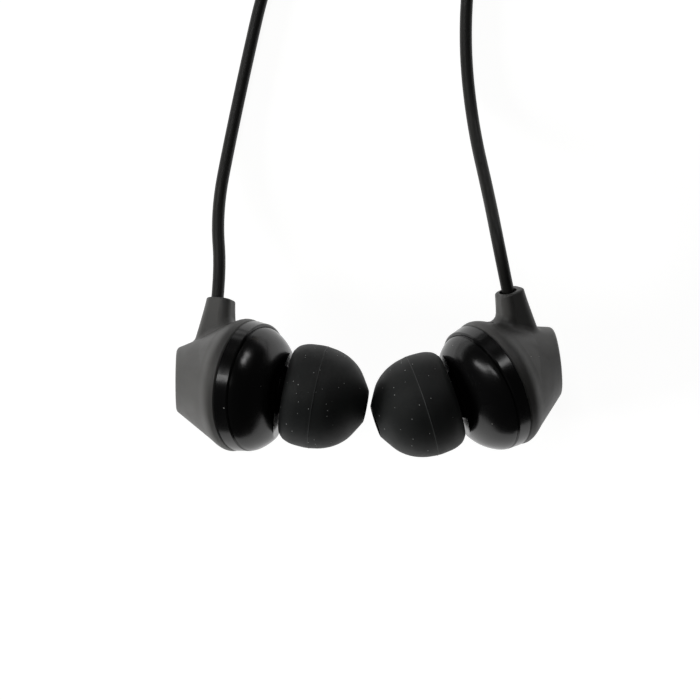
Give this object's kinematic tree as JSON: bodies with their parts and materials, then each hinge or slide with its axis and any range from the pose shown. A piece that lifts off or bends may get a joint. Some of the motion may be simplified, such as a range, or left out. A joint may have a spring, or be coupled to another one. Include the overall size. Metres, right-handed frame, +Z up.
{
  "type": "wired earphones",
  "caption": "In-ear wired earphones: angled housings with silicone tips, cord stems, coiled branch and main cords, splitter and a three-pole plug.",
  "frame": {"origin": "on the table under the middle of the pair of housings", "axes": "+X from the left-hand housing to the right-hand one, +Y along the table the way the cords run, +Z up from the table"},
  "size_m": [0.0519, 0.136, 0.015],
  "materials": {
    "shell_matte": "soft-touch black, fine grain",
    "shell_gloss": "polished black",
    "mesh_steel": "woven fine mesh",
    "silicone": "matte moulded silicone",
    "grommet_rubber": "matte",
    "cord_jacket": "matte extruded elastomer",
    "tie_strap": "woven strap",
    "moulded_rubber": "satin overmould",
    "plug_plate": "gold-plated",
    "insulator": "moulded",
    "basket_polymer": "moulded natural",
    "driver_steel": "zinc-plated",
    "magnet_nickel": "nickel-plated",
    "copper": "enamelled copper",
    "diaphragm_film": "thin film",
    "board": "solder-masked",
    "felt": "pressed felt"
  },
  "bodies": {
    "earphones": {"left_coil": "cord_jacket", "left_cord": "cord_jacket", "left_cord_grommet": "grommet_rubber", "left_cord_knot": "cord_jacket", "left_cord_tail": "cord_jacket", "left_damping_felt": "felt", "left_driver_basket": "basket_polymer", "left_driver_guard": "driver_steel", "left_driver_magnet": "magnet_nickel", "left_driver_top_plate": "driver_steel", "left_driver_yoke": "driver_steel", "left_front_shell": "shell_gloss", "left_lead_wires": "copper", "left_nozzle_mesh": "mesh_steel", "left_rear_shell": "shell_matte", "left_surround": "diaphragm_film", "left_terminal_board": "board", "left_tie": "tie_strap", "left_trim_ring": "shell_gloss", "left_vent_gauze": "mesh_steel", "main_coil": "cord_jacket", "main_cord": "cord_jacket", "main_cord_tail": "cord_jacket", "main_tie": "tie_strap", "plug_collar": "plug_plate", "plug_grip": "moulded_rubber", "plug_insulators": "insulator", "plug_relief": "moulded_rubber", "plug_ring": "plug_plate", "plug_sleeve": "plug_plate", "plug_tip": "plug_plate", "right_coil": "cord_jacket", "right_cord": "cord_jacket", "right_cord_grommet": "grommet_rubber", "right_cord_knot": "cord_jacket", "right_cord_tail": "cord_jacket", "right_damping_felt": "felt", "right_driver_basket": "basket_polymer", "right_driver_guard": "driver_steel", "right_driver_magnet": "magnet_nickel", "right_driver_top_plate": "driver_steel", "right_driver_yoke": "driver_steel", "right_front_shell": "shell_gloss", "right_lead_wires": "copper", "right_nozzle_mesh": "mesh_steel", "right_rear_shell": "shell_matte", "right_surround": "diaphragm_film", "right_terminal_board": "board", "right_tie": "tie_strap", "right_trim_ring": "shell_gloss", "right_vent_gauze": "mesh_steel", "splitter": "moulded_rubber"},
    "left_tip": {"left_ear_tip": "silicone"},
    "right_tip": {"right_ear_tip": "silicone"},
    "left_moving_coil": {"left_voice_coil": "copper", "left_diaphragm": "diaphragm_film"},
    "right_moving_coil": {"right_voice_coil": "copper", "right_diaphragm": "diaphragm_film"}
  },
  "joints": [
    {"name": "left_tip_turn", "type": "hinge", "parent": "earphones", "child": "left_tip", "pos_m": [-0.00955, -0.00237, 0.00778], "axis": [0.9788, -0.1865, 0.085], "continuous": true},
    {"name": "right_tip_turn", "type": "hinge", "parent": "earphones", "child": "right_tip", "pos_m": [0.00985, -0.00294, 0.00791], "axis": [-0.9478, -0.3116, 0.067], "continuous": true},
    {"name": "left_diaphragm_travel", "type": "slide", "parent": "earphones", "child": "left_moving_coil", "axis": [0.8849, -0.1228, 0.4493], "range_m": [-0.0002, 0.0002], "stiffness_N_per_m": 200},
    {"name": "right_diaphragm_travel", "type": "slide", "parent": "earphones", "child": "right_moving_coil", "axis": [-0.8149, -0.4081, 0.4115], "range_m": [-0.0002, 0.0002], "stiffness_N_per_m": 200}
  ]
}
